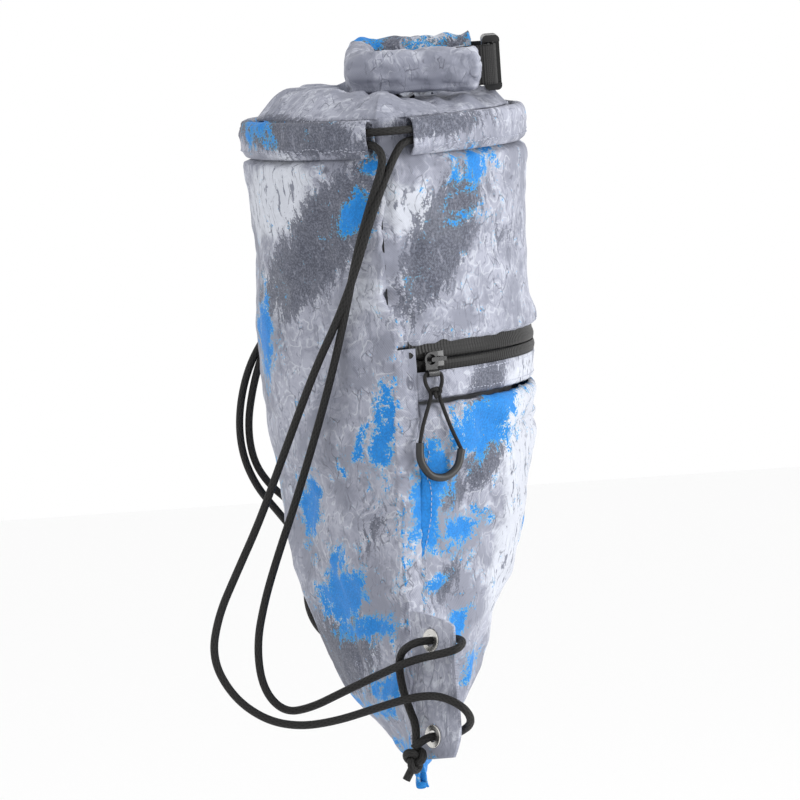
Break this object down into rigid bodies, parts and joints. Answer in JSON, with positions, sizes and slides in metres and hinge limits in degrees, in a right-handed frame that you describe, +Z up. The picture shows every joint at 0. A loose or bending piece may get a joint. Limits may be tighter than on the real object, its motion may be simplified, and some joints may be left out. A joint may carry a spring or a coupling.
{
  "type": "roll-top drawstring backpack",
  "caption": "Printed fabric backpack, stuffed, with a rolled collar closed by a side-release buckle, a zipped front pocket, and drawcords that run to eyeleted corner tabs as shoulder straps.",
  "frame": {"origin": "middle of the carry ring that the rolled collar makes", "axes": "+Z up, +X towards the zipped front, -Y towards the wearer's left side"},
  "size_m": [0.2219, 0.4029, 0.4565],
  "materials": {
    "shell_fabric": "light blue-grey twill with a camouflage print of dark grey and bright blue patches",
    "band_fabric": "mid-grey printed twill",
    "lining_fabric": "plain dark coated weave",
    "stiffener_plastic": "flexible strip",
    "buckle_plastic": "satin black moulding",
    "webbing": "black woven webbing",
    "zip_tape": "black tape with a rubbery water-repellent face",
    "zip_coil": "black nylon",
    "slider_metal": "satin black enamel",
    "grip_rubber": "moulded matte grip",
    "eyelet_metal": "nickel plate",
    "cord": "black braided cord"
  },
  "bodies": {
    "bag": {"back_panel": "shell_fabric", "front_upper_panel": "shell_fabric", "pocket_panel": "shell_fabric", "pocket_band": "band_fabric", "pocket_lining": "lining_fabric", "side_strip_left": "shell_fabric", "side_strip_right": "shell_fabric", "bottom_binding": "shell_fabric", "side_seam_tape_left": "lining_fabric", "side_seam_tape_right": "lining_fabric", "channel_front": "shell_fabric", "channel_back": "shell_fabric", "collar": "shell_fabric", "rolled_collar": "shell_fabric", "collar_stiffener": "stiffener_plastic", "buckle_socket": "buckle_plastic", "webbing_tab_right": "webbing", "zip_tape_upper": "zip_tape", "zip_tape_lower": "zip_tape", "zip_coil_upper": "zip_coil", "zip_coil_lower": "zip_coil", "zip_end_stops": "zip_coil", "corner_tab_left": "shell_fabric", "corner_tab_right": "shell_fabric", "eyelets_left": "eyelet_metal", "eyelets_right": "eyelet_metal", "eyelet_washers_left": "eyelet_metal", "eyelet_washers_right": "eyelet_metal", "drawcord_left": "cord", "drawcord_right": "cord", "drawcord_knot_left": "cord", "drawcord_knot_right": "cord"},
    "slider": {"zip_slider": "slider_metal"},
    "puller": {"zip_puller": "slider_metal"},
    "pull_loop": {"zip_pull_cord": "cord", "zip_pull_knot": "cord", "zip_pull_grip": "grip_rubber"},
    "plug": {"buckle_plug": "buckle_plastic", "webbing_tab_left": "webbing", "roll_free_arm": "shell_fabric"},
    "prong_upper": {"buckle_prong_upper": "buckle_plastic"},
    "prong_lower": {"buckle_prong_lower": "buckle_plastic"}
  },
  "joints": [
    {"name": "zip_travel", "type": "hinge", "parent": "bag", "child": "slider", "pos_m": [-0.05313, 0, -0.177], "axis": [0, 0, 1], "range_deg": [0, 116]},
    {"name": "puller_swing", "type": "hinge", "parent": "slider", "child": "puller", "pos_m": [0.01902, -0.12379, -0.177], "axis": [0.528, -0.8492, 0], "range_deg": [-60, 30]},
    {"name": "pull_loop_lift", "type": "hinge", "parent": "puller", "child": "pull_loop", "pos_m": [0.01902, -0.12379, -0.1855], "axis": [-0.8492, -0.528, 0], "range_deg": [0, 100]},
    {"name": "buckle_release", "type": "slide", "parent": "bag", "child": "plug", "axis": [0, -1, 0], "range_m": [0, 0.028], "deforming": ["buckle_prong_upper", "buckle_prong_lower"]},
    {"name": "prong_upper_squeeze", "type": "hinge", "parent": "plug", "child": "prong_upper", "pos_m": [0.0705, -0.0004, 0.0116], "axis": [-1, 0, 0], "range_deg": [0, 12], "stiffness_Nm_per_rad": 0.5},
    {"name": "prong_lower_squeeze", "type": "hinge", "parent": "plug", "child": "prong_lower", "pos_m": [0.0705, -0.0004, -0.0116], "axis": [1, 0, 0], "range_deg": [0, 12], "stiffness_Nm_per_rad": 0.5}
  ],
  "couplings": [
    {"joint": "prong_lower_squeeze", "follows": "prong_upper_squeeze", "ratio": 1}
  ]
}
